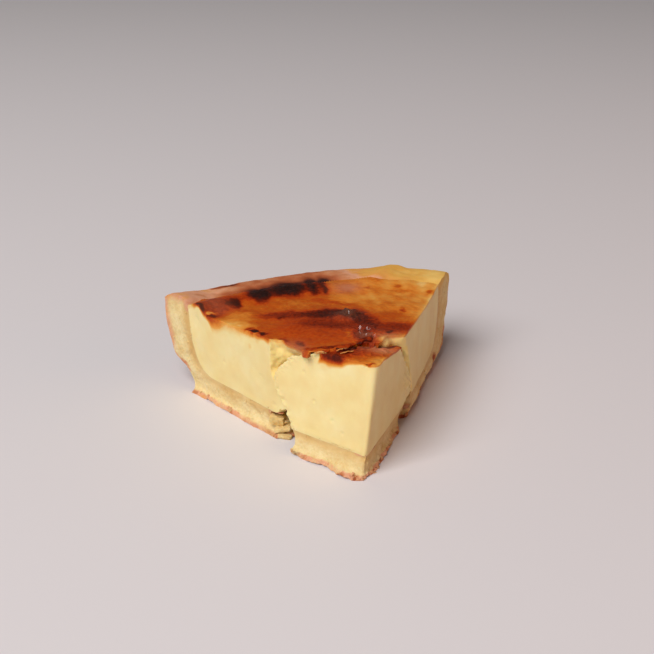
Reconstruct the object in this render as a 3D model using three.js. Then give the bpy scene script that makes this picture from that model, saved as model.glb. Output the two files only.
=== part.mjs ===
// A slice of baked custard flan in a thick shortcrust shell. The tip of the slice has been pressed off: it
// stands just in front of the rest, with its foot pushed forward and its shoulder against the break.
// Lengths are millimetres, angles degrees, and +Z is up. Everything is set out about the axis of the whole
// tart, with the point of the slice towards -Y. The slice is then moved so that the origin is under the
// middle of its box.
import * as THREE from 'three';

// The whole tart, and the two knife cuts as angles from +Y towards -X
const RIM_RADIUS = 135;
const LEFT_CUT = 29.7;
const RIGHT_CUT = -29.4;
const CUSTARD_HEIGHT = 45;
const CUSTARD_FALL = 0.00046;
const CUSTARD_CLIMB = 2;
const BASE_THICK = 11.2;
const FOOT_LEDGE = 2.2;
const FULLER_RIGHT = 4.5;
const BEND_RIGHT = 6;
const STRAY_FOOT = 1.7;
const STRAY_RIM = 1.2;
const TUCK_RIGHT = 2.6;
const BASE_SHARE = 15 / 32;
const WALL_HEIGHT = 38;
const RIM_CROWN = 2;
const RIM_LOW = 40;
const RIM_RISE_RIGHT = 1.9;
const RIM_RISE_LEFT = 3.4;
const RIM_END = 1.5;
const GAP = 0.35;
const SEED = 20417;

// Section of the shell wall as [radius, height], outside and inside, from the bend at the base to the rim
const WALL_OUTSIDE = [[113, 0], [117.6, 5.5], [121, 10], [129, 12.8], [131.4, 17], [133.3, 21.5],
  [135.8, 30], [RIM_RADIUS + 1.2, WALL_HEIGHT]];
const WALL_INSIDE = [[103, BASE_THICK], [109.2, 13], [113.2, 16.5], [116, 23], [117.3, 31],
  [118, WALL_HEIGHT]];

// The break across the slice, as [x, y, z] up each knife face, and the nose of custard that hangs out over it
const BREAK_LEFT = [[-27.2, 47, 0], [-28.4, 49.2, 3], [-30.4, 52.6, 6.5], [-30.6, 52.9, BASE_THICK],
  [-26, 44.6, BASE_THICK + GAP], [-26.2, 44.8, 16.8], [-27.1, 46.4, 19.4], [-28.3, 48.6, 22.1],
  [-29.4, 50.5, 25], [-30.4, 52.4, 28], [-30.8, 53.1, 32], [-30.8, 53.1, 44]];
const BREAK_RIGHT = [[30.4, 54, 0], [30.9, 54.9, 12], [29.5, 52.3, 25], [27, 47.9, 35], [23.8, 42.4, 44.5]];
const NOSE_REACH = 14.6;
const NOSE_FROM = 30;
const NOSE_DEPTH = 14;
const SILL_REACH = 3;
const HOLE_DEPTH = 7;
const WEDGE_LIFT = 4.6;

// The tip that was pressed off: its point, and the torn ends of its two knife faces, as [x, y, z] going up
const TIP_POINT = [[-2.9, 7.9, 0], [4.3, 14.4, CUSTARD_HEIGHT]];
const TIP_POINT_WIDTH = 3;
const TIP_POINT_BLUNT = 3.5;
const TIP_LEFT = [[-25, 34.5, 0], [-24.3, 35.5, 5], [-25.2, 38, 9.7], [-26.9, 42, 15.7], [-27.7, 43.9, 18.7],
  [-29.1, 46.4, 21.1], [-30.1, 48.6, 24.3], [-30.2, 49.8, 27.6], [-28.9, 49.2, 30.7], [-26.4, 47.5, 35],
  [-23.9, 45.3, 38.2]];
const TIP_RIGHT = [[20.6, 42.6, 0], [25.3, 48.6, 9], [28.5, 49.8, 12], [30.2, 51, 15.5],
  [29.6, 51, 19], [28, 50.4, 23.5], [25.6, 46.8, 30], [21.7, 40.5, 40.2]];
const TIP_CLEARANCE = 0.8;
const TIP_TEAR = 4.6;
const TIP_BASE_THICK = 9.5;
const TIP_FLAKE = 4.2;

const clamp = (x) => Math.min(1, Math.max(0, x));
const mix = (a, b, t) => a + (b - a) * t;
const between = (a, b, t) => a.map((value, i) => mix(value, b[i], t));

// Smooth step from 0 at a to 1 at b
function step(a, b, x) {
  const t = clamp((x - a) / (b - a));
  return t * t * (3 - 2 * t);
}

const mound = (distance, width) => Math.exp(-((distance / width) ** 2));

// The point at height z on a line of [x, y, z] points that goes up
function atHeight(line, z) {
  let i = 0;
  while (i < line.length - 2 && line[i + 1][2] < z) {
    i += 1;
  }
  const [low, high] = [line[i], line[i + 1]];
  return between(low, high, clamp((z - low[2]) / (high[2] - low[2])));
}

// One value from -1 to 1 for each point of a lattice
function lattice(i, j, k) {
  let h = Math.imul(i, 374761393) ^ Math.imul(j, 668265263) ^ Math.imul(k, 1274126177) ^ SEED;
  h = Math.imul(h ^ (h >>> 13), 1103515245);
  h = Math.imul(h ^ (h >>> 15), 747796405);
  return ((h ^ (h >>> 16)) >>> 0) / 2147483648 - 1;
}

// Smooth lumps from -1 to 1, each about one grain across
function lumps(x, y, z, grain) {
  const at = [x / grain, y / grain, z / grain];
  const cell = at.map(Math.floor);
  const t = at.map((value, i) => step(0, 1, value - cell[i]));
  const along = (j, k) => mix(lattice(cell[0], j, k), lattice(cell[0] + 1, j, k), t[0]);
  const across = (k) => mix(along(cell[1], k), along(cell[1] + 1, k), t[1]);
  return mix(across(cell[2]), across(cell[2] + 1), t[2]);
}

const crumble = (x, y, z) => 0.7 * lumps(x, y, z, 5.2) + 0.45 * lumps(x, y, z, 2.6);
const ripple = (x, y, z) => 0.35 * lumps(x, y, z, 7);
const ledge = (z) => FOOT_LEDGE * mound(z, 1.5);
const shards = (x, z) => 1.8 * lumps(x, 40, 3 * z, 5.5);
const torn = (x, y, z) => 0.9 * lumps(x, y, z, 7) + 0.5 * lumps(x, y, z, 3.4);

// Closed skin of a block of cells: place sets each corner, with a, b and c running from 0 to 1
function block([na, nb, nc], place) {
  const numbers = new Map();
  const points = [];
  const corner = (i, j, k) => {
    const key = `${i},${j},${k}`;
    if (!numbers.has(key)) {
      numbers.set(key, numbers.size);
      points.push(...place(i / na, j / nb, k / nc));
    }
    return numbers.get(key);
  };
  const faces = [];
  const quad = (p, q, r, s, outward) => {
    faces.push(...(outward ? [p, q, r, p, r, s] : [p, r, q, p, s, r]));
  };
  for (const end of [0, 1]) {
    for (let i = 0; i < na; i += 1) {
      for (let j = 0; j < nb; j += 1) {
        const k = end * nc;
        quad(corner(i, j, k), corner(i + 1, j, k), corner(i + 1, j + 1, k), corner(i, j + 1, k), end === 1);
      }
      for (let k = 0; k < nc; k += 1) {
        const j = end * nb;
        quad(corner(i, j, k), corner(i + 1, j, k), corner(i + 1, j, k + 1), corner(i, j, k + 1), end === 0);
      }
    }
    for (let j = 0; j < nb; j += 1) {
      for (let k = 0; k < nc; k += 1) {
        const i = end * na;
        quad(corner(i, j, k), corner(i, j + 1, k), corner(i, j + 1, k + 1), corner(i, j, k + 1), end === 1);
      }
    }
  }
  const skin = new THREE.BufferGeometry();
  skin.setAttribute('position', new THREE.Float32BufferAttribute(points, 3));
  skin.setIndex(faces);
  skin.computeVertexNormals();
  return skin;
}

const angleAt = (across) => mix(LEFT_CUT, RIGHT_CUT, across);

function polar(radius, angle) {
  const turn = THREE.MathUtils.degToRad(angle);
  return [-radius * Math.sin(turn), radius * Math.cos(turn)];
}

// Pushes a point out of a knife face by the given relief: the left face at 0, the right face at 1
function offFace(x, y, across, relief) {
  if (across > 0 && across < 1) {
    return [x, y];
  }
  const turn = THREE.MathUtils.degToRad(angleAt(across));
  const out = across === 0 ? -relief : relief;
  return [x + out * Math.cos(turn), y + out * Math.sin(turn)];
}

// A fold of pastry that runs in from the rim over the custard
function fold(x, y) {
  const [ax, ay] = polar(RIM_RADIUS + 2, -19.55);
  const [bx, by] = polar(106, -11);
  const length = Math.hypot(bx - ax, by - ay);
  const along = ((x - ax) * (bx - ax) + (y - ay) * (by - ay)) / length;
  const off = ((x - ax) * (by - ay) - (y - ay) * (bx - ax)) / length;
  const ridge = 2.4 * mound(off, off < 0 ? 2 : 5.5);
  return ridge * step(-3, 2, along) * (1 - 0.8 * step(0.3 * length, length, along));
}

// Height of the custard's skin: a shallow dome that climbs again to the rim, with a scorched lip at the left
// of the rim, blisters along the rim and two crumpled blisters near the break
function skinHeight(x, y) {
  const radius = Math.hypot(x, y);
  const angle = THREE.MathUtils.radToDeg(Math.atan2(-x, y));
  const dome = CUSTARD_HEIGHT - CUSTARD_FALL * radius * radius + CUSTARD_CLIMB * step(102, 118, radius);
  const lip = 3.9 * mound(radius - 111, 4.5) * step(16, 29, angle);
  const rimBlisters = 1.8 * mound(radius - 113, 4) * step(-9, -2, angle) * (1 - step(18, 26, angle));
  const farBlister = 1.9 * mound(Math.hypot(x - 7.6, y - 73), 5);
  const nearBlister = 2.2 * mound(Math.hypot(x - 7.4, y - 45), 5.5);
  const grain = 0.5 * lumps(x, y, 0, 9) + 0.15 * lumps(x, y, 9, 4.6);
  return dome + lip + rimBlisters + farBlister + nearBlister + fold(x, y) + grain;
}

// Height of the rim, which rises to the right and again at the left cut
function rimHeight(angle) {
  return RIM_LOW + RIM_RISE_RIGHT * step(12, -20, angle) + RIM_RISE_LEFT * step(21, 30, angle);
}

const outsideCurve = new THREE.SplineCurve(WALL_OUTSIDE.map((p) => new THREE.Vector2(...p)));
const insideCurve = new THREE.SplineCurve(WALL_INSIDE.map((p) => new THREE.Vector2(...p)));

// A point of the wall's section at an angle, on its outside or its inside
function wallPoint(curve, up, angle) {
  const { x: radius, y: height } = curve.getPoint(up);
  const lift = rimHeight(angle) - RIM_CROWN - WALL_HEIGHT;
  return [radius, height + lift * (height / WALL_HEIGHT) ** 2];
}

// How far the nose under the skin hangs out over the break: most near the left, and at the right no more than
// a sloping sill
function nose(across, z) {
  const taper = mix(1, 0.55, step(0.3, 0.7, across)) * (1 - step(0.76, 0.88, across));
  const shape = step(0.04, 0.24, across) * taper;
  const sill = step(0.74, 0.84, across) * (1 - step(0.94, 1, across)) * step(44, 41, z) * step(33, 38, z);
  return NOSE_REACH * shape * clamp((z - NOSE_FROM) / NOSE_DEPTH) ** 1.3 + SILL_REACH * sill;
}

function breakPoint(across, z) {
  const [x, y] = between(atHeight(BREAK_LEFT, z), atHeight(BREAK_RIGHT, z), across);
  return [x, y - nose(across, z)];
}

// The y that the break has at an x and a height
function breakDepth(x, z) {
  const [left] = atHeight(BREAK_LEFT, z);
  const [right] = atHeight(BREAK_RIGHT, z);
  return breakPoint(clamp((x - left) / (right - left)), z)[1];
}

// Custard of the slice, from the break to the wall; its torn corner at the left is lifted off the base
function custard(across, back, up) {
  const angle = angleAt(across);
  const low = BASE_THICK + GAP;
  const [wallRadius, wallHeight] = wallPoint(insideCurve, up, angle);
  const [wallX, wallY] = polar(wallRadius - GAP, angle);
  const lift = WEDGE_LIFT * (1 - step(0.06, 0.3, across));
  const [frontX, frontY] = breakPoint(across, mix(low + lift, CUSTARD_HEIGHT - 1, up));
  const wallLevel = (wallHeight - BASE_THICK) / (rimHeight(angle) - RIM_CROWN - BASE_THICK);
  const level = mix(up, wallLevel, back * back);
  let [x, y] = [mix(frontX, wallX, back), mix(frontY, wallY, back)];
  const z = mix(low + lift * (1 - step(0, 0.14, back)), skinHeight(x, y), level);
  if (back === 0) {
    y += torn(x, y, z);
  }
  [x, y] = offFace(x, y, across, ripple(x, y, z));
  return [x, y, z];
}

// How far the right cut strays out through the wall, and in where the foot of the base is tucked under
function stray(radius, z, inward) {
  const out = (STRAY_FOOT * mound(z - 6.5, 5.5) + STRAY_RIM * step(12, 24, z)) * (1 - inward);
  return mix(-TUCK_RIGHT * mound(z, 3), out, step(104, 118, radius) * step(0, 4, z));
}

// Shell of the slice: the base from the break to the bend, then the wall up to the rounded rim
function crust(across, along, inward) {
  const angle = angleAt(across);
  const climb = clamp((along - BASE_SHARE) / (1 - BASE_SHARE));
  const [outRadius, outHeight] = wallPoint(outsideCurve, climb, angle);
  const [inRadius, inHeight] = wallPoint(insideCurve, climb, angle);
  const bend = BEND_RIGHT * mound(outHeight - 8.5, 4);
  const fuller = FULLER_RIGHT * (1 - (0.6 * outHeight) / WALL_HEIGHT) + bend;
  const radius = mix(outRadius + fuller * step(0, -29, angle), inRadius, inward);
  let z = mix(outHeight, inHeight, inward);
  let [x, y] = polar(radius, angle);
  if (along < BASE_SHARE) {
    const [frontX, frontY] = breakPoint(across, z);
    const ahead = along === 0 ? crumble(frontX, frontY, z) + shards(frontX, z) : 0;
    const hole = HOLE_DEPTH * mound(across - 0.1, 0.07) * step(7.5, 9.5, z) * (1 - step(0, 0.14, along));
    [x, y] = [mix(frontX, x, along / BASE_SHARE), mix(frontY - ahead, y, along / BASE_SHARE) + hole];
  }
  if (along === 1) {
    z += RIM_CROWN * (1 - (2 * inward - 1) ** 4) + 0.4 * lumps(x, y, z, 6);
    const ends = step(26, LEFT_CUT, angle) + 0.5 * step(-26, RIGHT_CUT, angle);
    z -= RIM_END * ends * (1 - step(0, 0.3, inward));
  }
  z += fold(x, y) * step(0.8, 1, along);
  if (inward === 0 && along >= BASE_SHARE) {
    const swell = 0.7 * lumps(x, y, z, 13) * step(0, 0.3, climb) + ledge(z);
    [x, y] = polar(radius + swell, angle);
  }
  const edge = across === 0 ? ledge(z) : stray(radius, z, inward);
  [x, y] = offFace(x, y, across, crumble(x, y, z) + edge);
  return [x, y, z];
}

// A point of the tip at a height: across from its left face to its right, and back from its point to the tear
function tipPoint(across, back, z) {
  const [pointX, pointY] = atHeight(TIP_POINT, z);
  const blunt = TIP_POINT_BLUNT * step(15, CUSTARD_HEIGHT, z);
  const width = TIP_POINT_WIDTH + blunt;
  const round = 0.43 * width * (2 * across - 1) ** 2;
  const front = [pointX + (across - 0.5) * width, pointY + 0.45 * blunt + round];
  const rear = between(atHeight(TIP_LEFT, z), atHeight(TIP_RIGHT, z), across);
  const [x, y] = between(front, rear, back);
  const rough = back === 1 ? 0.6 + 0.5 * lumps(x, y, z, 4) : 0;
  return [x, Math.min(y, breakDepth(x, z) - TIP_CLEARANCE - rough)];
}

function tipCustard(across, back, up) {
  const tear = TIP_TEAR * step(0.6, 1, back) * (1 - step(0, 0.22, across));
  const fall = back * mix(1.4, 4.8, step(0.6, 1, across));
  const top = CUSTARD_HEIGHT - fall - tear;
  const level = mix(TIP_BASE_THICK + GAP, top, up);
  let [x, y] = tipPoint(across, back, level);
  [x, y] = offFace(x, y, across, ripple(x, y, level));
  const grain = up === 1 ? 0.35 * lumps(x, y, 30, 6) : 0;
  return [x, y, level + grain];
}

function tipCrust(across, back, up) {
  const z = TIP_BASE_THICK * up;
  let [x, y] = tipPoint(across, back, z);
  const flake = TIP_FLAKE * mound(z, 2.2) * mound(back - 0.1, 0.17) * (1 - 0.75 * across);
  [x, y] = offFace(x, y, across, crumble(x, y, z) + ledge(z) * step(0, 0.15, back));
  return [x, y - flake, z];
}

// Pale baked custard with a browned skin, and pale shortcrust
const custardColour = new THREE.Color('#ecd28f');
const crustColour = new THREE.Color('#dcae74');

function piece(name, cells, place, color, roughness) {
  const material = new THREE.MeshStandardMaterial({ color, roughness, metalness: 0 });
  const mesh = new THREE.Mesh(block(cells, place), material);
  mesh.name = name;
  return mesh;
}

const slice = new THREE.Group();
slice.name = 'slice';
slice.add(piece('custard', [26, 22, 12], custard, custardColour, 0.45));
slice.add(piece('crust', [30, 32, 8], crust, crustColour, 0.85));

const tip = new THREE.Group();
tip.name = 'tip';
tip.add(piece('tip_custard', [12, 12, 12], tipCustard, custardColour, 0.45));
tip.add(piece('tip_crust', [12, 12, 5], tipCrust, crustColour, 0.85));

const flan = new THREE.Group();
flan.name = 'flan';
flan.add(slice, tip);
const box = new THREE.Box3().setFromObject(flan);
flan.position.set(-(box.min.x + box.max.x) / 2, -(box.min.y + box.max.y) / 2, -box.min.z);

const part = new THREE.Group();
part.name = 'custard_flan_slice';
part.add(flan);

export default part;
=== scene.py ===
import math

import bmesh
import bpy
import numpy as np
from mathutils import Euler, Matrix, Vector, noise
from mathutils.bvhtree import BVHTree


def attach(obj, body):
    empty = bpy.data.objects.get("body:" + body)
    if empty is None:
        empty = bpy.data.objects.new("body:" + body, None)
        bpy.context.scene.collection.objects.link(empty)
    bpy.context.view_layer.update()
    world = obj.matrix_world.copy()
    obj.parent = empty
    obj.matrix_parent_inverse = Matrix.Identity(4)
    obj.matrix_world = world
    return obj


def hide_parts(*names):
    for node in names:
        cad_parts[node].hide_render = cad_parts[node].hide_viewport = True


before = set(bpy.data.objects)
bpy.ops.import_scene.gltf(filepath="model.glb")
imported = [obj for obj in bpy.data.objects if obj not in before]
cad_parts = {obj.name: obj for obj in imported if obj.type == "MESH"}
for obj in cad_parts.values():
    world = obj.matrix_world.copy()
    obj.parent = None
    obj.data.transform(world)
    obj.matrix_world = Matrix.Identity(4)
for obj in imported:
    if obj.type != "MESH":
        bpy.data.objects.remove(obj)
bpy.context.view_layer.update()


# Shell of the slice: a thick base and the flared wall behind it, of shortcrust pressed into a ring and
# baked. A knife cut it down both sides, the base snapped across the front, and the underside and the
# outside browned.
MM = 1000  # millimetres in a metre; places and sizes on the slice are in millimetres
TART_AXIS = np.array([-0.74, -71.05])  # middle of the whole tart
LEFT_KNIFE = Vector((-0.869, -0.495, 0))  # the ways that the two cut faces look
RIGHT_KNIFE = Vector((0.871, -0.491, 0))
FRONT = Vector((0, -1, 0))
SQUARE_ON = 0.75  # a face counts as cut where it looks the knife's way at least this squarely
BASE_TOP, RIM_FROM = 9, 33  # heights that the inside of the shell and its rim lie above
BREAK_WITHIN, WALL_BEYOND = 75, 105  # distances from the middle of the tart
WALL_TOAST = 0.56  # how dark the browned pastry is away from the rim
RIM_TOAST = [  # x along the rim, and how dark the oven made it there
    (-60, 0.45), (-50, 0.41), (-43, 0.46), (-33, 0.55), (-23, 0.57), (-5, 0.63), (8, 0.58), (14, 0.5),
    (20, 0.38), (40, 0.17), (58, 0.04)]
SMUDGES = [  # dark smudges on the rim: x, y, half width, half depth
    (-26.4, 43.6, 5, 3), (-10.9, 46.9, 10, 5), (0.1, 48.4, 3, 6), (6.1, 49.4, 3, 5)]
BURNT_SPOT = (54.3, 25.6, 6.5)


def fine_copy(node, name, levels, finer):
    """A closed and finely divided copy of a solid, split once more in the faces that finer picks."""
    sharp_from, upper_half = 0.75, 0.03
    round_top, round_front, keep_sharp = 0.7, 0.45, 1
    work = bmesh.new()
    work.from_mesh(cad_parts[node].data)
    bmesh.ops.remove_doubles(work, verts=work.verts, dist=1e-6)
    bmesh.ops.join_triangles(work, faces=work.faces, angle_face_threshold=1.5, angle_shape_threshold=2.6)
    crease = work.edges.layers.float.new("crease_edge")
    for edge in work.edges:
        if edge.calc_face_angle(0) > sharp_from:
            ways = [face.normal for face in edge.link_faces]
            on_top = max(way.z for way in ways) > 0.5 and edge.verts[0].co.z > upper_half
            in_front = max(way.y for way in ways) < -0.2
            knives = sum(max(way.dot(LEFT_KNIFE), way.dot(RIGHT_KNIFE)) > 0.9 for way in ways)
            edge[crease] = round_top if on_top else round_front if in_front and knives != 1 else keep_sharp
    mesh = bpy.data.meshes.new(name)
    work.to_mesh(mesh)
    work.free()
    if mesh.has_custom_normals:
        mesh.attributes.remove(mesh.attributes["custom_normal"])
    piece = bpy.data.objects.new(name, mesh)
    bpy.context.scene.collection.objects.link(piece)
    divide = piece.modifiers.new("divide", "SUBSURF")
    divide.levels = divide.render_levels = levels
    bpy.context.view_layer.update()
    fine = bpy.data.meshes.new_from_object(piece.evaluated_get(bpy.context.evaluated_depsgraph_get()))
    piece.modifiers.clear()
    work = bmesh.new()
    work.from_mesh(fine)
    edges = {edge for face in work.faces if finer(face) for edge in face.edges}
    bmesh.ops.subdivide_edges(work, edges=list(edges), cuts=1, use_grid_fill=True)
    work.to_mesh(fine)
    work.free()
    fine.shade_smooth()
    piece.data = fine
    return piece


def read(items, name):
    """One vector for each corner or face of a mesh."""
    values = np.empty(len(items) * 3, np.float32)
    items.foreach_get(name, values)
    return values.reshape(-1, 3).astype(float)


def shape_of(piece):
    """Corners of a piece and the ways they look, then middles of its faces and the ways they look."""
    corners, faces = piece.data.vertices, piece.data.polygons
    return (read(corners, "co") * MM, read(corners, "normal"),
            read(faces, "center") * MM, read(faces, "normal"))


def at_corners(mesh, values):
    """For each corner of a mesh, the mean of what its faces have."""
    corner = np.empty(len(mesh.loops), np.int32)
    mesh.loops.foreach_get("vertex_index", corner)
    sides = np.empty(len(mesh.polygons), np.int32)
    mesh.polygons.foreach_get("loop_total", sides)
    count = len(mesh.vertices)
    return np.bincount(corner, np.repeat(values, sides), count) / np.bincount(corner, minlength=count)


def surface(mesh, chosen=None):
    """The chosen faces of a mesh, or all of them, ready to be measured to."""
    picked = range(len(mesh.polygons)) if chosen is None else np.flatnonzero(chosen)
    corners = (read(mesh.vertices, "co") * MM).tolist()
    return BVHTree.FromPolygons(corners, [mesh.polygons[i].vertices[:] for i in picked])


def distance_to(points, mesh, chosen):
    """How far each point is from the nearest chosen face of a mesh."""
    faces = surface(mesh, chosen)
    return np.array([faces.find_nearest(p)[3] for p in points.tolist()])


def flush_with(node, points, off_inside):
    """How far points move off the knife faces of a shell to meet the cut filling in one face."""
    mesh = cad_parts[node].data
    facing = read(mesh.polygons, "normal")
    shift = np.zeros_like(points)
    for knife in (np.array(LEFT_KNIFE), np.array(RIGHT_KNIFE)):
        cut_filling = surface(mesh, facing @ knife > SQUARE_ON)
        gap = (np.array([cut_filling.find_nearest(p)[0] for p in points.tolist()]) - points) @ knife
        shift += np.outer(np.where(np.abs(gap) < 2, gap, 0) * step(4, 1, off_inside), knife)
    return shift


def lumps(points, grain, seed):
    """Smooth lumps from about -1 to 1, each one grain across; each seed gives another set."""
    return 1.4 * np.array([noise.noise(p) for p in (points / grain + 31.7 * seed).tolist()])


def grains(points, grain, seed):
    """Rounded grains that touch: 1 at the middle of each and 0 where it meets the next."""
    nearest = [noise.voronoi(p)[0] for p in (points / grain + 31.7 * seed).tolist()]
    return np.clip([1 - first / max(second, 1e-6) for first, second, *_ in nearest], 0, 1)


def step(low, high, x):
    """Smooth step from 0 at low to 1 at high."""
    t = np.clip((x - low) / (high - low), 0, 1)
    return t * t * (3 - 2 * t)


def near(distance, reach, power=2):
    """1 at a place, fading to 0 over about its reach; a higher power stays full for longer."""
    return np.exp(-(distance / reach) ** power)


def spot(points, middle, size):
    """A round spot: 1 at its middle, given as x, y or as x, y, z, fading to 0 over about its size."""
    return np.exp(-((points[:, :len(middle)] - middle) ** 2).sum(1) / size ** 2)


def crumb_of(points, off_inside, seed, flakes, stand_out):
    """Relief of broken pastry: crumbs that touch, fainter beside the filling, and flakes low on its foot."""
    crumb = 0.26 * grains(points, 2.4, seed) + 0.2 * lumps(points, 3.7, seed + 1)
    crumb += 0.08 * lumps(points, 1.1, seed + 2) - 0.15
    flaky = step(3.2, 1.2, points[:, 2]) * (flakes * lumps(points, 1.7, seed + 3) + stand_out)
    return crumb * step(1, 4, off_inside) + flaky


def lift_of(points, mesh, broken, seed):
    """How far the foot stands off the table here and there along its broken faces."""
    at_break = step(2.5, 0.3, distance_to(points, mesh, broken))
    return 0.8 * at_break * step(-0.1, 0.5, lumps(points, 5, seed)) * step(3, 0.5, points[:, 2])


def settle(piece, points, **fields):
    """Gives a piece its corners, none of them under the table, and a named value at each corner."""
    points[:, 2] = np.maximum(points[:, 2], 0)
    piece.data.vertices.foreach_set("co", (points / MM).astype(np.float32).ravel())
    for name, values in fields.items():
        field = piece.data.attributes.new(name, "FLOAT", "POINT")
        field.data.foreach_set("value", values.astype(np.float32))
    piece.data.set_sharp_from_angle(angle=0.9)
    piece.data.update()


def colour(text):
    """Linear colour of an sRGB hex value."""
    parts = [int(text[i:i + 2], 16) / 255 for i in (1, 3, 5)]
    return [x / 12.92 if x <= 0.04045 else ((x + 0.055) / 1.055) ** 2.4 for x in parts] + [1]


def add(tree, kind, inputs=(), stops=(), **settings):
    """Adds a node with its settings, ramp stops and inputs; an input is a value or a socket to link."""
    node = tree.nodes.new(kind)
    for name, value in settings.items():
        setattr(node, name, value)
    if stops:
        ramp = node.color_ramp.elements
        for end in (0, -1):
            ramp[end].position, ramp[end].color = stops[end][0], colour(stops[end][1])
        for place, hue in stops[1:-1]:
            ramp.new(place).color = colour(hue)
    for name, value in dict(inputs).items():
        if isinstance(value, bpy.types.NodeSocket):
            tree.links.new(value, node.inputs[name])
        else:
            node.inputs[name].default_value = value
    return node


def knife_cut(face):
    """Whether a face of the shell was cut by the knife or looks to the front."""
    knife = LEFT_KNIFE if face.calc_center_median().x < 0 else RIGHT_KNIFE
    return max(face.normal.dot(knife), face.normal.dot(FRONT)) > 0.8


shell = fine_copy("crust", "shortcrust_shell", 2, knife_cut)
points, normals, centres, facing = shape_of(shell)
x, y, z = points.T
out = centres[:, :2] - TART_AXIS
radius = np.hypot(*out.T)
outward = (facing[:, :2] * out).sum(1) / radius
cut = np.where(centres[:, 0] < 0, facing @ np.array(LEFT_KNIFE), facing @ np.array(RIGHT_KNIFE)) > SQUARE_ON
snapped = (facing[:, 1] < -0.6) & (radius < BREAK_WITHIN) & ~cut
under = facing[:, 2] < -0.7
rim = (facing[:, 2] > 0.5) & (centres[:, 2] > RIM_FROM)
outside = (outward > 0.4) & (radius > WALL_BEYOND) & ~cut & ~rim & ~under
inside = ~(cut | snapped | under | rim | outside) & (centres[:, 2] > BASE_TOP)
off_under, off_outside, off_rim, off_inside = (distance_to(points, shell.data, chosen)
                                               for chosen in (under, outside, rim, inside))
ragged = 0.35 * lumps(points, 4, 1)
from_axis = np.hypot(*(points[:, :2] - TART_AXIS).T)
turn = np.degrees(np.arctan2(TART_AXIS[0] - x, y - TART_AXIS[1]))

# Where it browned: a line round the foot, the skin of the outside and of the rim, and one burnt spot
foot_brown = np.clip(0.85 + 0.4 * lumps(points, 6, 10), 0.65, 1) * near(off_under, 1.7 + ragged, 4)
pale_heel = 1 - 0.85 * step(26, 29, turn) * step(20, 13, z)
outside_brown = pale_heel * np.maximum(
    1.2 * near(off_outside, 0.6), (0.8 - 0.45 * step(-20, -28, turn)) * near(off_outside, 3.6 + ragged))
rim_brown = np.maximum(
    1.2 * near(off_rim, 1 + 0.5 * ragged), 0.8 * near(off_rim, 4 + 1.6 * lumps(points, 4, 64)))
burnt = spot(points, BURNT_SPOT, 3)
browned = np.max([foot_brown, outside_brown, rim_brown, burnt], axis=0)

# Where it is moist: a band along the filling, wider up the wall
up_wall = step(10, 20, z)
soaked = (0.75 + 0.25 * up_wall) * near(off_inside - 2, 2.4 + up_wall + 2 * ragged)

# How dark it browned: by place along the rim, darker on its inner edge, paler on the cut faces and the foot
round_rim = np.interp(x, *zip(*RIM_TOAST))
round_rim += 0.12 * step(-10, 40, x) * step(126, 117, from_axis)
inner_edge = step(125.5, 119.5, from_axis + 1.5 * lumps(points, 7, 58))
round_rim += 0.2 * inner_edge * step(-48, -40, x) * step(16, 8, x)
round_rim += 0.36 * near(from_axis - 131.4, 1.7) * step(-48, -45, x) * step(-31, -36, x)
round_rim += 0.42 * np.max([near(x - at_x, wide) * near(y - at_y, deep)
                            for at_x, at_y, wide, deep in SMUDGES], axis=0)
near_rim = step(7, 2, off_rim)
crumbly = at_corners(shell.data, ~(under | rim | outside | inside))
toasted = WALL_TOAST + near_rim * (round_rim - WALL_TOAST) + 0.3 * burnt
toasted += 0.09 * lumps(points, 9, 8) + 0.05 * lumps(points, 3, 9)
toasted -= 0.13 * (1 - near_rim) * crumbly * step(2, 5, z)
toasted -= (0.12 - 0.5 * np.maximum(lumps(points, 4, 65) - 0.2, 0)) * step(5, 2, z)

# Relief: crumb on the broken faces, soft waves on the baked ones
relief = crumbly * crumb_of(points, off_inside, 2, 0.5, 0.3)
waves = 0.25 * lumps(points, 11, 6) + 0.16 * lumps(points, 2.6, 7)
relief += (1 - crumbly) * waves * at_corners(shell.data, rim | outside)
points += (crumbly > 0.4)[:, None] * flush_with("custard", points, off_inside)
z += lift_of(points, shell.data, cut | snapped, 68)
settle(shell, points + normals * relief[:, None], browned=browned, toasted=toasted, soaked=soaked,
       crumbly=crumbly * (1 - 0.7 * soaked),
       foot=crumbly * step(2.2, 0.8, z) * step(0.1, 0.6, lumps(points, 6, 10)))

# Baked shortcrust: a dry, sandy crumb, pale where it was cut, golden to reddish brown where the ring and the
# oven touched it, and yellow and moist under the filling.
SAND, BLOTCH = 0.9091, 7.143  # grain of the crumb and blotches of the bake
pastry = bpy.data.materials.new("baked shortcrust")
pastry.use_nodes = True
tree = pastry.node_tree
shader = tree.nodes["Principled BSDF"]
place = add(tree, "ShaderNodeTexCoord").outputs["Object"]
is_browned = add(tree, "ShaderNodeAttribute", attribute_name="browned").outputs["Fac"]
is_toasted = add(tree, "ShaderNodeAttribute", attribute_name="toasted").outputs["Fac"]
is_soaked = add(tree, "ShaderNodeAttribute", attribute_name="soaked").outputs["Fac"]
sand = add(tree, "ShaderNodeTexNoise",
           {"Vector": place, "Scale": MM / SAND, "Detail": 3, "Roughness": 0.65})
blotch = add(tree, "ShaderNodeTexNoise",
             {"Vector": place, "Scale": MM / BLOTCH, "Detail": 4, "Roughness": 0.6})
crumb_mix = add(tree, "ShaderNodeMix", {0: 0.65, 2: sand.outputs["Fac"], 3: blotch.outputs["Fac"]})
crumb_hue = add(tree, "ShaderNodeValToRGB", {"Fac": crumb_mix.outputs[0]},
                [(0.34, "#dab87c"), (0.48, "#e5cb92"), (0.64, "#efdba8")])
moist_hue = add(tree, "ShaderNodeValToRGB", {"Fac": blotch.outputs["Fac"]},
                [(0.3, "#d2a663"), (0.7, "#deb97a")])
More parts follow.
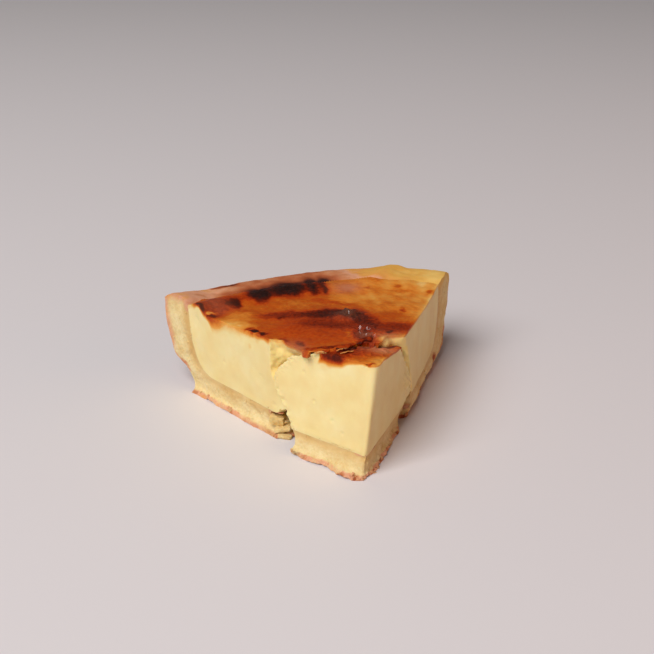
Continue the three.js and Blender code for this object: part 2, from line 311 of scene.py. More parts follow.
sandy = add(tree, "ShaderNodeMath", {0: sand.outputs["Fac"], 1: 0.5}, operation="SUBTRACT")
patchy = add(tree, "ShaderNodeMath", {0: sandy.outputs[0], 1: 0.07, 2: is_toasted}, operation="MULTIPLY_ADD")
rind_hue = add(tree, "ShaderNodeValToRGB", {"Fac": patchy.outputs[0]},
               [(0, "#e8bf6c"), (0.18, "#e0a84f"), (0.32, "#da984f"), (0.42, "#dfa280"), (0.52, "#c8835a"),
                (0.62, "#b4643e"), (0.74, "#964c2b"), (0.88, "#5e2a1c"), (1, "#321915")])
browned_edge = add(tree, "ShaderNodeMath", {0: sandy.outputs[0], 1: 0.9, 2: is_browned},
                   operation="MULTIPLY_ADD")
brown_share = add(tree, "ShaderNodeMapRange",
                  {"Value": browned_edge.outputs[0], "From Min": 0.25, "From Max": 0.8})
moist_or_painted_light_mix = add(tree, "ShaderNodeMix",
            {0: is_soaked, 6: crumb_hue.outputs["Color"], 7: moist_hue.outputs["Color"]}, data_type="RGBA")
brown = add(tree, "ShaderNodeMix",
            {0: brown_share.outputs[0], 6: moist_or_painted_light_mix.outputs[2], 7: rind_hue.outputs["Color"]}, data_type="RGBA")
dry = add(tree, "ShaderNodeMapRange", {"Value": is_soaked, "To Min": 0.85, "To Max": 0.55})
bump = add(tree, "ShaderNodeBump", {"Height": sand.outputs["Fac"], "Strength": 0.18, "Distance": 0.0004})
tree.links.new(brown.outputs[2], shader.inputs["Base Color"])
tree.links.new(dry.outputs[0], shader.inputs["Roughness"])
tree.links.new(bump.outputs["Normal"], shader.inputs["Normal"])
shader.inputs["Specular IOR Level"].default_value = 0.2
shader.inputs["Subsurface Weight"].default_value = 0.1
shader.inputs["Subsurface Radius"].default_value = (1, 0.5, 0.25)
shader.inputs["Subsurface Scale"].default_value = 0.0015
shell.data.materials.append(pastry)
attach(shell, "root")
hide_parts("crust")


# Filling of the slice: egg custard set in the oven until its milk skin scorched. The knife left smooth moist
# faces, the front is torn where the tip broke away, and the skin ends there in a ragged overhanging edge.
SKIN_FROM = 30  # height that the skin lies above
RUBBED = 0.16  # how brown the skin is where it is rubbed or frayed
SCORCHES_AND_PAINTED_LIGHT = [  # x, y, half length, half width, turn in degrees, depth of the browning; later ones lie over
    (-4.9, -9.6, 30, 21, -16, 0.54), (-28.9, 3.4, 8, 7, 40, 0.47), (-37.4, 13.9, 9, 5, -42, 0.3),
    (24.1, -2.1, 8.5, 6.5, 0, 0.47), (5.1, 20.4, 12, 2.6, -40, 0.5), (-0.9, 27.4, 4, 3, 0, 0.5),
    (20.6, -17.4, 12, 8, -6, 0.66), (-47.9, 26.9, 9, 6, -12, 0.63), (-49.4, 20.4, 5, 4, -20, 0.63),
    (10.6, -5.6, 14, 5.5, 90, 0.76), (-11.9, 7.9, 20, 5, -12, 0.68), (-0.9, 4.9, 11, 6, -15, 0.82),
    (-3.9, -7.1, 14, 5.5, -22, 0.68), (-39.6, 29.4, 3.6, 3.4, 0, 0.87), (-25.6, 38.4, 5.4, 8, 0, 0.98),
    (-12.4, 41.9, 10, 7.5, 5, 0.97), (1.5, 42.4, 5, 8, 0, 0.66), (-0.6, 41.9, 2.2, 8, 0, 0.9),
    # (-50.1, 21.8) is a painted highlight on the lifted lip of the skin, (-49.6, 20.5) painted shade under
    # it
    (4.3, 41.4, 1.5, 8, 0, 0.82), (-54.4, 24.2, 2.4, 1, -52, 0.92), (-50.1, 21.8, 2.2, 0.5, -13, 0.2),
    (-49.6, 20.5, 2.2, 0.6, -24, 0.86), (-36.2, -6.8, 5.5, 2, -60, 0.22), (-37.4, -2.8, 1.8, 1.3, -60, 0.84),
    (-35.7, -7.2, 2.6, 1.5, -60, 0.92), (-33.4, -11.2, 1.6, 1.4, -60, 0.88), (-20.9, 6.4, 2.2, 1.4, 0, 0.72),
    (-26.5, -19.6, 3.2, 1.7, -78, 0.6), (-21.2, -25.2, 2.8, 1.9, -82, 0.72),
    (-18.2, -31.8, 1.8, 2.6, 0, 0.72), (1.7, -23.1, 7, 1.3, 85, 0.4), (6.5, -27.6, 9.5, 5, 80, 0.73),
    (5.9, 0.4, 6.5, 2.8, -70, 0.87), (13.6, 35.9, 4.5, 7, 0, 0.41), (23.6, 34.9, 1.6, 1.6, 0, 0.42),
    (38.3, 35.3, 1.8, 1.8, 0, 0.42), (37.6, 28.9, 7, 2.2, -20, 0.38), (50.9, 23.6, 3.2, 2.6, 0, 0.5),
    (31.2, 3.6, 1.3, 2.5, 0, 0.56), (18.7, -22.2, 1.5, 1.5, 0, 0.86), (16.6, -30.6, 7.5, 3.4, 10, 0.14),
    (-59, 30.5, 3.4, 3.4, 0, 0.1)]
STAINS_AND_PAINTED_SHADE = [  # drops and smears of browned skin on the bare custard, and painted shade: middle, size and depth of brown
    # (17, -29.5) and (11, -31.5) are painted shade on the bare strip under the dark arm, which faces away
    # from the light
    (-35.8, -10.3, 40.3, 1.8, 0.09), (-38.2, -6.3, 36, 1.5, 0.09), (17, -29.5, 42.4, 4.5, 0.08),
    (11, -31.5, 43.5, 3, 0.13), (-26.7, -20.9, 41.7, 3.2, 0.08), (-24.1, -24.2, 41.1, 3.5, 0.09),
    (-22, -29, 41.5, 3.4, 0.14), (-19.8, -33.6, 42.6, 2.4, 0.68)]
BLUSHES_AND_PAINTED_LIGHT = [  # where the browned skin is rosy, two blushes painted light: x, y, size, share
    # (7.5, -27) is a painted highlight on the glossy near blister; (17, -30) is painted shade on the bare
    # strip
    (14.8, 37.5, 6, 0.8), (17, -30, 6, 0.6), (7.5, -27, 4, 0.3), (-48, 27, 7, 0.25), (5.9, 0.4, 5, 0.15),
    (-24, -25, 5, 0.3), (-22.5, -29, 4, 0.5)]
BLISTERS = [(6.1, 0.4), (7.1, -26.1), (8.1, -17.6)]  # x, y where the skin blew up and crumpled
CURD = (14.2, -30, 41.8)  # a lump of custard that stands out of the torn face


def push_of(mesh, facing, chosen):
    """For each corner, the way that its chosen faces look, or nothing where it has none."""
    push = np.stack([at_corners(mesh, side * chosen) for side in facing.T], 1)
    return push / np.maximum(np.linalg.norm(push, axis=1, keepdims=True), 1e-6)


def scorch(points, marks, base):
    """How dark the skin baked at each point: a base, and over it marks that ran into ragged shapes."""
    at = points[:, :2].copy()
    for reach, grain, seed in ((1.4, 9, 11), (0.9, 3.2, 13), (0.4, 1.3, 51)):
        at += reach * np.stack([lumps(points, grain, seed), lumps(points, grain, seed + 1)], 1)
    baked = base.copy()
    for x, y, length, width, turn, depth in marks:
        c, s = math.cos(math.radians(turn)), math.sin(math.radians(turn))
        dx, dy = at[:, 0] - x, at[:, 1] - y
        far = ((dx * c + dy * s) / length) ** 2 + ((dy * c - dx * s) / width) ** 2
        baked += (depth - baked) * np.exp(-far ** 1.7)
    return baked


def skin_top(face):
    """Whether a face of the filling carries the skin."""
    return face.normal.z > 0.5 and face.calc_center_median().z > SKIN_FROM / MM


custard = fine_copy("custard", "custard_filling", 2, skin_top)
points, normals, centres, facing = shape_of(custard)
x, y, z = points.T
top = (facing[:, 2] > 0.5) & (centres[:, 2] > SKIN_FROM)
torn = (facing[:, 1] < -0.6) & (centres[:, 1] < -10) & ~top
left = facing @ np.array(LEFT_KNIFE) > SQUARE_ON
right = facing @ np.array(RIGHT_KNIFE) > SQUARE_ON
beside_shell = ~(top | torn | left | right)
off_top, off_left, off_right, off_shell, off_torn = (
    distance_to(points, custard.data, chosen) for chosen in (top, left, right, beside_shell, torn))
on_top, on_left, on_torn = (at_corners(custard.data, chosen) for chosen in (top, left, torn))
from_axis = np.hypot(*(points[:, :2] - TART_AXIS).T)
turn = np.degrees(np.arctan2(TART_AXIS[0] - x, y - TART_AXIS[1]))

# How brown the skin is: golden all over, browner at the rim, scorched in marks, pale where rubbed or frayed.
# Two marks at the lip of the skin are a painted highlight and painted shade.
by_rim = 0.58 * step(-5, 2, turn) * near(from_axis - 111, 7)
base = 0.42 - 0.11 * step(-2, 14, x) - 0.1 * step(30, 54, x)
base += 0.05 * lumps(points, 12, 15) + 0.03 * lumps(points, 4, 52)
base += 0.06 * step(8, 22, x) * lumps(points * [1.4, 0.7, 1], 5, 57)
baked = scorch(points, SCORCHES_AND_PAINTED_LIGHT, np.maximum(base, by_rim))
rubbed = step(-6, 3, y) * step(14, 7, y) * step(9 + 2 * lumps(points, 3, 56), 1, off_left)
baked += (RUBBED + 0.03 * lumps(points, 2, 27) - baked) * rubbed
frayed = step(np.maximum(1.6 + 1.4 * lumps(points, 2.2, 66), 0.3), 0, off_torn) * step(-16, -20, x)
baked += (RUBBED - baked) * frayed
baked *= 1 - 0.4 * step(-12, -4, y) * near(off_right, 1.6)

# How far the brown ran down over the knife faces, then the stains and painted shade on the custard
ran_down = 0.7 + 0.7 * step(-9, -4, y) + 1.2 * step(-4, 3, y) + 0.8 * step(7, 13, y) - 2.8 * step(16, 20, y)
drip = 0.8 + on_left * (ran_down + 0.6 * lumps(points * [1, 1, 0.4], 5, 16))
baked *= near(off_top, np.maximum(drip, 0.5))
for *middle, size, depth in STAINS_AND_PAINTED_SHADE:
    baked = np.maximum(baked, depth * spot(points, middle, size))
# Moist in a band beside the shell; the torn faces get the full bright yellow, which is painted light
# standing in for the light that fills the crack
soaked = np.maximum(0.15 * near(off_shell, 2.6 + 0.8 * lumps(points, 6, 53)), on_torn)

# Relief: a wrinkled skin with crumpled blisters, smooth knife faces with a few pits, a lumpy torn face
crumpled = np.max([spot(points, middle, 6) for middle in BLISTERS], axis=0)
folds = 1 - np.abs(lumps(points, 5, 17))
fine_folds = 1 - np.abs(lumps(points, 2.6, 26))
skin_relief = 0.25 * lumps(points, 6, 18) + 0.16 * lumps(points, 2.2, 19) * (0.4 + baked)
skin_relief += 0.25 * near(off_shell, 1.8) + 0.5 * step(0.8, 0.97, baked) * lumps(points, 3, 20)
skin_relief += crumpled * (1.9 * folds ** 3 + 1.1 * fine_folds ** 2 - 1.1)
pitted = np.clip(lumps(points, 4.2, 21) - 0.72, 0, 1) * 1.4
knife_relief = 0.22 * lumps(points, 17, 22) + 0.06 * lumps(points, 4, 23) - pitted - 0.06
relief = on_top * skin_relief + (1 - on_top) * (step(0, 2.5, off_shell) * knife_relief + 0.06)
smooth = 1 - 0.85 * step(6, 12, x) * step(36, 40, z)
relief += on_torn * smooth * (0.7 * lumps(points, 5, 24) + 0.35 * lumps(points, 1.9, 25))
relief += 1.2 * spot(points, CURD, 6 ** 0.5)
into_shell = 0.9 + 3 * on_top
points += normals * relief[:, None] + into_shell[:, None] * push_of(custard.data, facing, beside_shell)

# The edge of the skin lies on the baked rim, and the custard under it goes down inside the wall
at_shell = at_corners(custard.data, beside_shell) > 0
z -= 1.5 * at_shell * (on_top == 0) * step(4, 0, off_top)
baked_rim = surface(shell.data)
ABOVE, DOWN = 70, (0, 0, -1)
for i in np.flatnonzero((on_top > 0) & at_shell):
    landed = baked_rim.ray_cast((x[i], y[i], ABOVE), DOWN)[0]
    z[i] = min(z[i], landed.z + 0.1) if landed else z[i]
# Rosy tint of the skin, which also carries the painted highlight and painted shade of the blushes above
rosy = np.max([share * spot(points, middle, size) for *middle, size, share in BLUSHES_AND_PAINTED_LIGHT], axis=0)
settle(custard, points, baked=baked, soaked=soaked, crumpled=0.85 * crumpled * on_top, rosy=rosy)

# Baked custard: smooth, moist and faintly translucent pale yellow. Its milk skin goes from golden through
# caramel red to black, dull where it burnt and glossy where the sugar ran into blisters.
CLOUD, FRECKLE = 11.11, 1.4286  # clouds in the custard and freckles of the bake
filling = bpy.data.materials.new("baked custard with a scorched milk skin")
filling.use_nodes = True
tree = filling.node_tree
shader = tree.nodes["Principled BSDF"]
place = add(tree, "ShaderNodeTexCoord").outputs["Object"]
is_baked = add(tree, "ShaderNodeAttribute", attribute_name="baked").outputs["Fac"]
is_soaked = add(tree, "ShaderNodeAttribute", attribute_name="soaked").outputs["Fac"]
is_rosy = add(tree, "ShaderNodeAttribute", attribute_name="rosy").outputs["Fac"]
is_crumpled = add(tree, "ShaderNodeAttribute", attribute_name="crumpled").outputs["Fac"]
cloud = add(tree, "ShaderNodeTexNoise",
            {"Vector": place, "Scale": MM / CLOUD, "Detail": 3, "Roughness": 0.5})
freckle = add(tree, "ShaderNodeTexNoise",
              {"Vector": place, "Scale": MM / FRECKLE, "Detail": 4, "Roughness": 0.6})
custard_hue = add(tree, "ShaderNodeValToRGB", {"Fac": cloud.outputs["Fac"]},
                  [(0.3, "#ecd293"), (0.5, "#efd99c"), (0.7, "#f2e0a8")])
freckled = add(tree, "ShaderNodeMath", {0: freckle.outputs["Fac"], 1: 0.5}, operation="SUBTRACT")
deep = add(tree, "ShaderNodeMath", {0: freckled.outputs[0], 1: is_baked}, operation="MULTIPLY")
depth = add(tree, "ShaderNodeMath", {0: deep.outputs[0], 1: 0.5, 2: is_baked}, operation="MULTIPLY_ADD")
skin_hue = add(tree, "ShaderNodeValToRGB", {"Fac": depth.outputs[0]},
               [(0.12, "#e6ae5a"), (0.22, "#e09640"), (0.32, "#d67c28"),
                (0.42, "#bc5812"), (0.52, "#b2420c"), (0.62, "#902c08"),
                (0.74, "#5c1806"), (0.86, "#3c1710"), (0.96, "#2a1613")])
skin_share = add(tree, "ShaderNodeMapRange", {"Value": depth.outputs[0], "From Min": 0.03, "From Max": 0.17})
# the bright yellow is moisture by the shell and painted light on the torn faces
moist_or_painted_light_mix = add(tree, "ShaderNodeMix", {0: is_soaked, 6: custard_hue.outputs["Color"], 7: colour("#ffe293")},
            data_type="RGBA")
blush = add(tree, "ShaderNodeMix", {0: is_rosy, 6: skin_hue.outputs["Color"], 7: colour("#c57d5c")},
            data_type="RGBA")
skin = add(tree, "ShaderNodeMix", {0: skin_share.outputs[0], 6: moist_or_painted_light_mix.outputs[2], 7: blush.outputs[2]},
           data_type="RGBA")
bump = add(tree, "ShaderNodeBump", {"Height": freckle.outputs["Fac"], "Strength": 0.18, "Distance": 0.0003})
tree.links.new(skin.outputs[2], shader.inputs["Base Color"])
tree.links.new(is_crumpled, shader.inputs["Coat Weight"])
tree.links.new(bump.outputs["Normal"], shader.inputs["Normal"])
shader.inputs["Roughness"].default_value = 0.5
shader.inputs["Coat Roughness"].default_value = 0.1
shader.inputs["Specular IOR Level"].default_value = 0.12
shader.inputs["Subsurface Weight"].default_value = 0.2
shader.inputs["Subsurface Radius"].default_value = (1, 0.55, 0.25)
shader.inputs["Subsurface Scale"].default_value = 0.002
custard.data.materials.append(filling)
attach(custard, "root")
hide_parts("custard")


# Shell of the tip: the point of the shortcrust base that broke off under the pressed tip. Its cut faces are
# crumbly, and browned flakes of the underside stick out round its foot.
TIP_BASE_TOP = 7  # height that the top of this base lies above
tip_shell = fine_copy("tip_crust", "tip_shortcrust", 3, lambda face: False)
points, normals, centres, facing = shape_of(tip_shell)
z = points[:, 2]
under = facing[:, 2] < -0.7
inside = (facing[:, 2] > 0.7) & (centres[:, 2] > TIP_BASE_TOP)
broken = ~(under | inside)
off_under, off_inside = (distance_to(points, tip_shell.data, chosen) for chosen in (under, inside))
ragged = 0.35 * lumps(points, 4, 31)
browned = np.clip(0.8 + 0.4 * lumps(points, 6, 37), 0.55, 1) * near(off_under, 1.5 + ragged, 4)
soaked = 0.75 * near(off_inside - 2, 2.4 + 2 * ragged)
crumbly = at_corners(tip_shell.data, broken)
relief = crumbly * crumb_of(points, off_inside, 32, 0.6, 0.35)
points += (crumbly > 0.4)[:, None] * flush_with("tip_custard", points, off_inside)
z += lift_of(points, tip_shell.data, broken, 69)
settle(tip_shell, points + normals * relief[:, None], browned=browned, soaked=soaked,
       toasted=0.42 + 0.5 * np.maximum(lumps(points, 4, 36) - 0.2, 0), crumbly=crumbly * (1 - 0.7 * soaked),
       foot=crumbly * step(2.2, 0.8, z) * step(0.1, 0.6, lumps(points, 6, 37)))
tip_shell.data.materials.append(pastry)
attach(tip_shell, "root")
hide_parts("tip_crust")


# Filling of the tip: the same custard, pressed forward off the slice. The skin is left on the back half of
# its top, and the upper left corner is torn away to bare custard.
TIP_SKIN_FROM = 38  # height that the skin lies above
TIP_SCORCHES_AND_SHADOW = [
    # (11.6, -33) darkens the far edge: burnt skin and painted shadow of the gap behind the tip
    (-11.9, -42.4, 5, 3.4, -45, 0.84), (11.6, -33, 9.5, 1.5, 14, 0.92), (-4.4, -37.6, 4.5, 1.6, 10, 0.78),
    (1.8, -53.9, 1, 1, 0, 0.62)]
PITS = [  # small holes in the knife face: middle and size
    (-12.1, -47, 18.3, 0.8), (-17.6, -38.4, 23.6, 0.6), (-9.2, -52, 14.7, 0.7), (-20.7, -31.9, 33.9, 0.8)]
FAINT_BROWN_PATCH = (-13.4, -38.4, 38.6)  # a faint golden-brown patch on the left face below the dark corner
SQUASHED = (26, -23.4, 20)  # middle of the lumpy bulge on the right
tip_custard = fine_copy("tip_custard", "tip_custard_filling", 3, lambda face: False)
points, normals, centres, facing = shape_of(tip_custard)
x, y, z = points.T
top = (facing[:, 2] > 0.55) & (centres[:, 2] > TIP_SKIN_FROM)
under = facing[:, 2] < -0.7
left = facing @ np.array(LEFT_KNIFE) > SQUARE_ON
torn = (facing[:, 1] > 0.5) & ~top
off_top, off_under, off_torn = (
    distance_to(points, tip_custard.data, chosen) for chosen in (top, under, torn))
on_top, on_left, on_torn = (at_corners(tip_custard.data, chosen) for chosen in (top, left, torn))
wander = 0.9 * lumps(points, 3, 41) + lumps(points, 8, 42)
base = 0.6 - 0.16 * step(0, 9, x) - 0.27 * step(-42, -51, y + wander) + 0.06 * lumps(points, 6, 54)
baked = scorch(points, TIP_SCORCHES_AND_SHADOW, base) * step(-16, -14, x + wander)
ran_down = 2.6 * step(-53, -42, y) + near(x + 11.5, 4)
drip = 0.6 + on_left * (ran_down + 0.7 * lumps(points * [1, 1, 0.4], 4, 43))
baked *= near(off_top, np.maximum(drip, 0.5), 3)
baked = np.maximum(baked, 0.06 * spot(points, FAINT_BROWN_PATCH, 10 ** 0.5))
soaked = 0.15 * near(off_under, 3.4 + 0.9 * lumps(points, 6, 55))
folds = 1 - np.abs(lumps(points, 5, 44))
skin_relief = 0.25 * lumps(points, 5, 45) + 0.2 * lumps(points, 2, 46) + baked * (1.1 * folds ** 3 - 0.4)
knife_relief = 0.2 * lumps(points, 15, 47) + 0.06 * lumps(points, 4, 48) - 0.06
ragged_edge = near(off_torn, 1.6) * (0.45 * lumps(points, 1.8, 58) + 0.25 * lumps(points, 0.9, 59))
relief = on_top * skin_relief + (1 - on_top) * (step(0, 2.5, off_under) * knife_relief + 0.06 + ragged_edge)
relief += on_torn * (0.7 * lumps(points, 5, 49) + 0.35 * lumps(points, 1.9, 50))
relief += 1.2 * spot(points, SQUASHED, 5) * (0.7 + 0.6 * lumps(points, 1.8, 67))
for *middle, size in PITS:
    relief -= 0.4 * spot(points, middle, size)
points += normals * relief[:, None] + 0.9 * push_of(tip_custard.data, facing, under)
settle(tip_custard, points, baked=baked, soaked=soaked, crumpled=np.zeros(len(points)),
       rosy=0.75 * near(x - 11, 7) * near(y + 36, 5))
tip_custard.data.materials.append(filling)
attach(tip_custard, "root")
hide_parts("tip_custard")


# Torn skin: where the tip broke away the milk skin tore instead of cracking, so a ragged flap of it hangs
# from the break over the gap, and thin strips curl up from the tip.
FLAPS = [  # torn line as x, y; reach of the flap to the front; rise of its edge; depth of the browning
    ([(-19.5, -31), (-16.9, -32.2), (-12.9, -33.4), (-8.9, -33.6), (-3.4, -33.2), (2.1, -31.6)],
     2.6, -0.4, 0.6),
    ([(0.6, -31.8), (3.6, -31.4), (8.6, -31)], 2.4, -0.3, 0.74),
    ([(-7.9, -35.4), (-4.4, -36.2), (0.6, -35.8)], 1.4, 1, 0.85),
    ([(-8.1, -37), (-5.4, -36.2), (-2.9, -35.2)], 1, 0.9, 0.24),
    ([(-7.1, -39.6), (-4.4, -38.8), (-1.4, -38.2)], 1, 0.7, 0.24),
    ([(-16.7, -35.2), (-14.5, -36.4), (-12.3, -37.4)], 1.5, 1.2, 0.16)]
FLAP_ALONG, FLAP_ACROSS, FLAP_THICK = 41, 8, 0.4  # points along a flap and across it, and its thickness
HELD_BACK = -0.35  # share of its reach by which a flap lies back on the skin
SMOOTHED = np.ones(9) / 9  # the line of the tear is the mean of nine landing heights
skins = [surface(piece.data) for piece in (custard, tip_custard)]
corners, faces, baked = [], [], []
for line, reach, rise, depth in FLAPS:
    ends = np.array(line)
    along = np.linspace(0, len(ends) - 1, FLAP_ALONG)
    x, y = (np.interp(along, range(len(ends)), side) for side in ends.T)
    landed = [[skin.ray_cast((*at, ABOVE), DOWN)[0] for skin in skins] for at in zip(x, y)]
    z = np.array([max(hit.z for hit in hits if hit) for hits in landed])
    z = np.convolve(np.pad(z, len(SMOOTHED) // 2, "edge"), SMOOTHED, "valid") + 0.25
    torn_line = np.column_stack([x, y, z])
    narrowed = np.sin(np.linspace(0.04, 0.96, FLAP_ALONG) * math.pi) ** 0.6
    taper = narrowed * (1 + 0.5 * lumps(torn_line, 1.8, 61))
    for row, part in enumerate(np.linspace(HELD_BACK, 1, FLAP_ACROSS)):
        edge = torn_line.copy()
        edge[:, 1] -= part * reach * taper
        edge[:, 2] += rise * max(part, 0) ** 2 * taper + 0.15 * lumps(edge, 1.8, 62)
        if row:
            here = len(corners)
            faces += [(here - FLAP_ALONG + i, here + i, here + i + 1, here - FLAP_ALONG + i + 1)
                      for i in range(FLAP_ALONG - 1)]
        corners += edge.tolist()
        baked += (depth * (1 + 0.2 * lumps(edge, 2.5, 63))).tolist()
corners, baked = np.array(corners), np.array(baked)
flaps = bpy.data.objects.new("torn_skin", bpy.data.meshes.new("torn_skin"))
bpy.context.scene.collection.objects.link(flaps)
flaps.data.from_pydata(corners, [], faces)
settle(flaps, corners, baked=baked, soaked=np.zeros(len(corners)), crumpled=np.zeros(len(corners)),
       rosy=0.4 * (baked < 0.4))
flaps.data.shade_smooth()
thicken = flaps.modifiers.new("thicken", "SOLIDIFY")
thicken.thickness = FLAP_THICK / MM
bpy.context.view_layer.update()
sheet = bpy.data.meshes.new_from_object(flaps.evaluated_get(bpy.context.evaluated_depsgraph_get()))
flaps.modifiers.clear()
flaps.data = sheet
flaps.data.materials.append(filling)
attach(flaps, "root")


# Broken layers: pieces of the base that the break left hanging at the left of the crack, short slabs of
# pastry one over the other with dark gaps between them.
LAYERS = [  # middle; half width, depth and height; turn about +Y, then about +Z; how browned
    ((-29.4, -18.9, 6.6), (3.1, 1.8, 1.9), (8, -20), 0.5),
    ((-27.3, -21.6, 3.5), (3.6, 2.4, 0.8), (-12, -25), 0.34),
    ((-24.5, -23.2, 3.7), (2.3, 0.6, 0.35), (-24, -10), 0.6),
    ((-26.9, -23.6, 0.9), (2.8, 1.8, 0.8), (5, -30), 0.12),
    ((-25.1, -19.6, 5.6), (1.6, 1.3, 0.7), (20, 15), 0.1)]
SLAB_CUTS = 9
layers = bpy.data.objects.new("broken_layers", bpy.data.meshes.new("broken_layers"))
bpy.context.scene.collection.objects.link(layers)
slabs = bmesh.new()
browned = []
for middle, half, (lean, turn), depth in LAYERS:
    slab = bmesh.new()
    bmesh.ops.create_cube(slab, size=2)
    bmesh.ops.subdivide_edges(slab, edges=slab.edges, cuts=SLAB_CUTS, use_grid_fill=True)
    rounded = [corner.co * (1.12 - 0.14 * corner.co.length_squared / 2) for corner in slab.verts]
    rough = np.array(rounded) * half
    bumps = np.stack([lumps(rough + middle, 1.5, seed) for seed in (71, 72, 73)], 1)
    rough += 0.3 * bumps * min(half) ** 0.5
    set_down = Euler((0, math.radians(lean), math.radians(turn))).to_matrix()
    for corner, place in zip(slab.verts, rough.tolist()):
        corner.co = set_down @ Vector(place) + Vector(middle)
    slab.to_mesh(layers.data)
    slab.free()
    slabs.from_mesh(layers.data)
    browned += [depth] * len(layers.data.vertices)
slabs.to_mesh(layers.data)
slabs.free()
layers.data.shade_smooth()
points = read(layers.data.vertices, "co")  # still in millimetres
# The slabs are toasted only a pale gold: their own colour, and painted light on the lump in the shade of the
# overhang.
settle(layers, points, browned=np.array(browned), toasted=0.05 + 0.08 * lumps(points, 2, 74),
       soaked=np.zeros(len(points)))
layers.data.materials.append(pastry)
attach(layers, "root")


# Crumbs and flakes: crumbs cling to the cut pastry, and thin browned flakes of the underside stick out round
# its foot. They are bits of the same shortcrust, strewn over both shells.
BITS = {  # what they lie on, number to a square metre, radius and dents in metres, how browned, how dark
    "clinging_crumbs": {"Where": "crumbly", "Density": 15000.0, "Smallest": 0.0003, "Largest": 0.0007,
                        "Flatness": 0.5, "Dents": 0.0006, "Palest": 0.0, "Brownest": 0.3, "Toasted": 0.3,
                        "Seed": 81},
    "foot_flakes": {"Where": "foot", "Density": 300000.0, "Smallest": 0.0005, "Largest": 0.0012,
                    "Flatness": 0.3, "Dents": 0.0014, "Palest": 0.3, "Brownest": 0.9, "Toasted": 0.48,
                    "Seed": 82}}
DENT_APART = 1 / 1.4  # dents this far apart, 1.4 to a millimetre, make each ball a crumb
strew = bpy.data.node_groups.new("bits strewn on pastry", "GeometryNodeTree")
for name, kind in (("Shell", "Object"), ("Tip", "Object"), ("Where", "String"), ("Density", "Float"),
                   ("Smallest", "Float"), ("Largest", "Float"), ("Flatness", "Float"), ("Dents", "Float"),
                   ("Palest", "Float"), ("Brownest", "Float"), ("Toasted", "Float"), ("Seed", "Int"),
                   ("Material", "Material")):
    strew.interface.new_socket(name, in_out="INPUT", socket_type="NodeSocket" + kind)
strew.interface.new_socket("Geometry", in_out="OUTPUT", socket_type="NodeSocketGeometry")
given = add(strew, "NodeGroupInput").outputs
both = add(strew, "GeometryNodeJoinGeometry")
for name in ("Shell", "Tip"):
    carrier = add(strew, "GeometryNodeObjectInfo", {"Object": given[name]})
    strew.links.new(carrier.outputs["Geometry"], both.inputs[0])
where = add(strew, "GeometryNodeInputNamedAttribute", {"Name": given["Where"]}, data_type="FLOAT")
thickly = add(strew, "ShaderNodeMath", {0: where.outputs[0], 1: given["Density"]}, operation="MULTIPLY")
spots = add(strew, "GeometryNodeDistributePointsOnFaces",
            {"Mesh": both.outputs[0], "Density": thickly.outputs[0], "Seed": given["Seed"]})
brown = add(strew, "FunctionNodeRandomValue",
            {2: given["Palest"], 3: given["Brownest"], "Seed": given["Seed"]})
baked_on = add(strew, "GeometryNodeStoreNamedAttribute",
               {"Geometry": spots.outputs["Points"], "Name": "browned", "Value": brown.outputs[1]},
               data_type="FLOAT")
toasted_on = add(strew, "GeometryNodeStoreNamedAttribute",
                 {"Geometry": baked_on.outputs[0], "Name": "toasted", "Value": given["Toasted"]},
                 data_type="FLOAT")
size = add(strew, "FunctionNodeRandomValue",
           {2: given["Smallest"], 3: given["Largest"], "Seed": given["Seed"]})
thin = add(strew, "ShaderNodeMath", {0: size.outputs[1], 1: given["Flatness"]}, operation="MULTIPLY")
shape = add(strew, "ShaderNodeCombineXYZ",
            {"X": size.outputs[1], "Y": size.outputs[1], "Z": thin.outputs[0]})
lean = add(strew, "FunctionNodeRandomValue", {0: (-0.7, -0.7, 0), 1: (0.7, 0.7, 6.3), "Seed": given["Seed"]},
           data_type="FLOAT_VECTOR")
turned = add(strew, "FunctionNodeRotateRotation", {0: spots.outputs["Rotation"], 1: lean.outputs[0]},
             rotation_space="LOCAL")
ball = add(strew, "GeometryNodeMeshIcoSphere", {"Radius": 1, "Subdivisions": 2})
placed = add(strew, "GeometryNodeInstanceOnPoints",
             {"Points": toasted_on.outputs[0], "Instance": ball.outputs[0], "Rotation": turned.outputs[0],
              "Scale": shape.outputs[0]})
real = add(strew, "GeometryNodeRealizeInstances", {"Geometry": placed.outputs[0]})
dent = add(strew, "ShaderNodeTexNoise", {"Scale": MM / DENT_APART, "Detail": 1})
centred = add(strew, "ShaderNodeVectorMath", {0: dent.outputs["Color"], 1: (0.5, 0.5, 0.5)},
              operation="SUBTRACT")
shift = add(strew, "ShaderNodeVectorMath", {0: centred.outputs[0], "Scale": given["Dents"]},
            operation="SCALE")
dented = add(strew, "GeometryNodeSetPosition", {"Geometry": real.outputs[0], "Offset": shift.outputs[0]})
dressed = add(strew, "GeometryNodeSetMaterial",
              {"Geometry": dented.outputs[0], "Material": given["Material"]})
add(strew, "NodeGroupOutput", {0: dressed.outputs[0]})
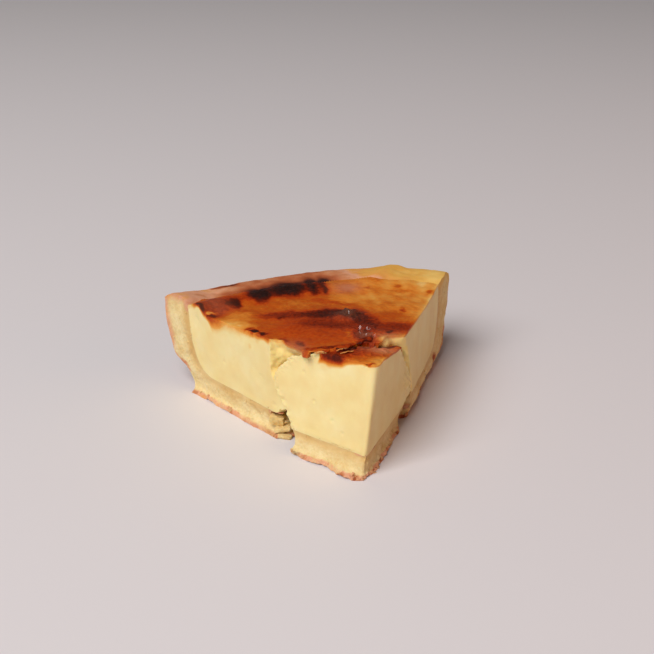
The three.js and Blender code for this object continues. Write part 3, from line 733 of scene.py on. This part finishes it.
for name, sizes in BITS.items():
    bits = bpy.data.objects.new(name, bpy.data.meshes.new(name))
    bpy.context.scene.collection.objects.link(bits)
    strewn = bits.modifiers.new("strewn", "NODES")
    strewn.node_group = strew
    values = {"Shell": shell, "Tip": tip_shell, "Material": pastry, **sizes}
    for socket in strew.interface.items_tree:
        if socket.in_out == "INPUT":
            strewn[socket.identifier] = values[socket.name]
    bpy.context.view_layer.update()
    plain = bpy.data.meshes.new_from_object(bits.evaluated_get(bpy.context.evaluated_depsgraph_get()))
    bits.modifiers.clear()
    bits.data = plain
    plain.shade_smooth()
    settle(bits, read(plain.vertices, "co") * MM)
    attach(bits, "root")


# Table and light: a plain pale table top, a wide soft lamp to the left, a dim warm one to the right and
# a pale room around them.
TABLE = [(-4, -4, 0), (4, -4, 0), (4, 4, 0), (-4, 4, 0)]
LAMPS = [  # name, place, width, power in watts, tint
    ("window", (-1.32, -0.96, 2.06), 1.8, 71, "#fffdfa"),
    ("warm wall", (1.0, -0.6, 0.4), 0.9, 2.0, "#ff963e")]
table = bpy.data.objects.new("table_top", bpy.data.meshes.new("table_top"))
table.data.from_pydata(TABLE, [], [(0, 1, 2, 3)])
bpy.context.scene.collection.objects.link(table)
matt = bpy.data.materials.new("matt glazed table")
matt.use_nodes = True
glaze = matt.node_tree.nodes["Principled BSDF"].inputs
glaze["Base Color"].default_value = colour("#e2dde1")
glaze["Roughness"].default_value = 0.6
table.data.materials.append(matt)
room = bpy.data.worlds.new("pale room")
room.use_nodes = True
walls = room.node_tree.nodes["Background"].inputs
walls["Color"].default_value = colour("#f7f2ea")
walls["Strength"].default_value = 0.115
bpy.context.scene.world = room
for name, place, width, power, tint in LAMPS:
    lamp = bpy.data.lights.new(name, "AREA")
    lamp.size, lamp.energy, lamp.color = width, power, colour(tint)[:3]
    soft = bpy.data.objects.new(name, lamp)
    soft.location = place
    soft.rotation_euler = (-Vector(place)).to_track_quat("-Z", "Y").to_euler()
    bpy.context.scene.collection.objects.link(soft)


# Camera: in front of the slice and a little to the left, looking down on it from about half a metre away
# through a slightly long lens.
lens = bpy.data.cameras.new("camera")
lens.lens = 66.06
lens.sensor_width = 36
camera = bpy.data.objects.new("camera", lens)
camera.location = (-0.11014, -0.46245, 0.245)
camera.rotation_euler = Vector((0.2063, 0.8936, -0.3987)).to_track_quat("-Z", "Y").to_euler()
bpy.context.scene.collection.objects.link(camera)
bpy.context.scene.camera = camera
bpy.context.scene.view_settings.view_transform = "Standard"
